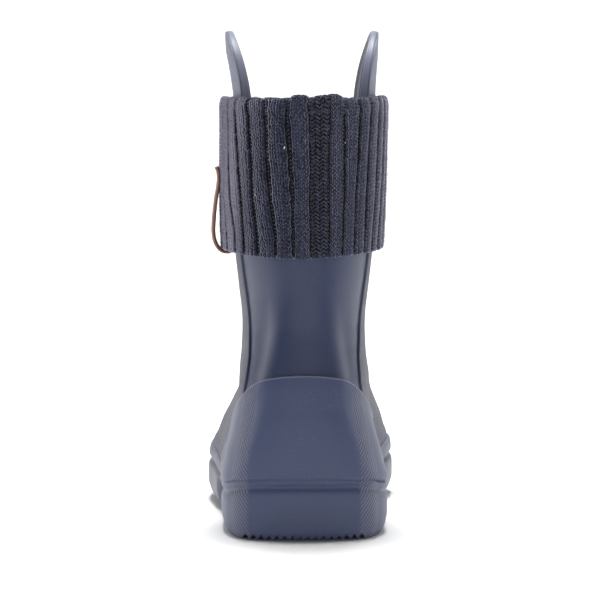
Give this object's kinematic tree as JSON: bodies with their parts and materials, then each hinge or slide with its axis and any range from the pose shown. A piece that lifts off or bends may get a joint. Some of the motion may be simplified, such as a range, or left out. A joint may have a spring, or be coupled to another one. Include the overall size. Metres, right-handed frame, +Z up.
{
  "type": "rubber boot",
  "caption": "Child's moulded rubber boot for the left foot, with a turned-down rib-knit cuff, pull loops at both sides and a small leather tab.",
  "frame": {"origin": "on the floor under the middle of the boot's bounding box", "axes": "+Z up from the floor, +Y towards the toe, +X towards the inner side of the foot"},
  "size_m": [0.0792, 0.1864, 0.197],
  "materials": {
    "upper": "moulded slate-blue EVA rubber, satin",
    "outsole": "moulded slate-blue EVA rubber, satin",
    "insole": "cloth-covered foam",
    "knitted_cuff": "thick rib knit",
    "leather_tab": "brown leather, blank"
  },
  "bodies": {
    "root": {"upper": "upper", "outsole": "outsole", "insole": "insole", "knitted_cuff": "knitted_cuff", "leather_tab": "leather_tab"}
  },
  "joints": []
}
